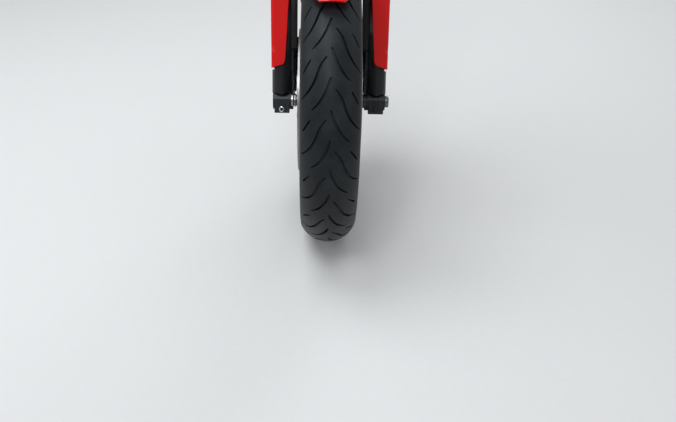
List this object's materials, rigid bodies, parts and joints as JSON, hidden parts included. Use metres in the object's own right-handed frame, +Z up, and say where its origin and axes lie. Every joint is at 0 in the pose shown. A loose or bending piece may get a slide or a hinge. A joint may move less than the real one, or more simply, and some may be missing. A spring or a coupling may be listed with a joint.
{
  "type": "motorcycle front wheel and fork assembly",
  "caption": "Motorcycle front end: a cast wheel with tyre and twin brake discs turning in an upside-down fork, with a red mudguard and leg covers, yokes and steering stem.",
  "frame": {"origin": "middle of the lower bearing journal on the steering stem, on the steering axis", "axes": "+X ahead, +Y to the machine's left along the axle, +Z up with the wheel upright and the steering axis leaning back 24.5 degrees"},
  "size_m": [0.6506, 0.264, 0.9948],
  "materials": {
    "tyre": "matte",
    "wheel_black": "satin",
    "rubber": "matte",
    "steel": "satin",
    "disc_steel": "satin",
    "carrier_black": "satin",
    "spacer": "satin",
    "spacer_dark": "satin",
    "fork_alloy": "satin",
    "caliper_black": "satin",
    "pad": "matte",
    "hard_chrome": "polished",
    "outer_tube": "satin",
    "fork_cap": "satin",
    "yoke_black": "satin",
    "black_plastic": "matte",
    "guard_plastic": "satin",
    "red_gloss": "gloss"
  },
  "bodies": {
    "fork": {"front_axle": "steel", "lower_yoke": "yoke_black", "upper_yoke": "yoke_black", "bar_clamp_caps": "yoke_black", "steering_stem": "steel", "stem_nut": "steel", "bearing_adjuster": "steel", "mudguard": "red_gloss", "axle_spacer_left": "spacer_dark", "axle_spacer_right": "spacer", "fork_bottom_left": "fork_alloy", "fork_bottom_right": "fork_alloy", "brake_caliper_left": "caliper_black", "brake_caliper_right": "caliper_black", "brake_pads_left": "pad", "brake_pads_right": "pad", "inner_tube_left": "hard_chrome", "inner_tube_right": "hard_chrome", "outer_tube_left": "outer_tube", "outer_tube_right": "outer_tube", "dust_seal_left": "rubber", "dust_seal_right": "rubber", "fork_cap_left": "fork_cap", "fork_cap_right": "fork_cap", "mudguard_skirt_left": "black_plastic", "mudguard_skirt_right": "black_plastic", "leg_cover_left": "red_gloss", "leg_cover_right": "red_gloss", "fork_guard_left": "guard_plastic", "fork_guard_right": "guard_plastic"},
    "wheel": {"tyre": "tyre", "wheel_casting": "wheel_black", "tyre_valve": "rubber", "brake_disc_left": "disc_steel", "disc_carrier_left": "carrier_black", "wheel_bearing_left": "steel", "hub_seal_left": "rubber", "brake_disc_right": "disc_steel", "disc_carrier_right": "carrier_black", "wheel_bearing_right": "steel", "hub_seal_right": "rubber"}
  },
  "joints": [
    {"name": "wheel_spin", "type": "hinge", "parent": "fork", "child": "wheel", "pos_m": [0.24294, 0, -0.46074], "axis": [0, 1, 0], "continuous": true}
  ]
}
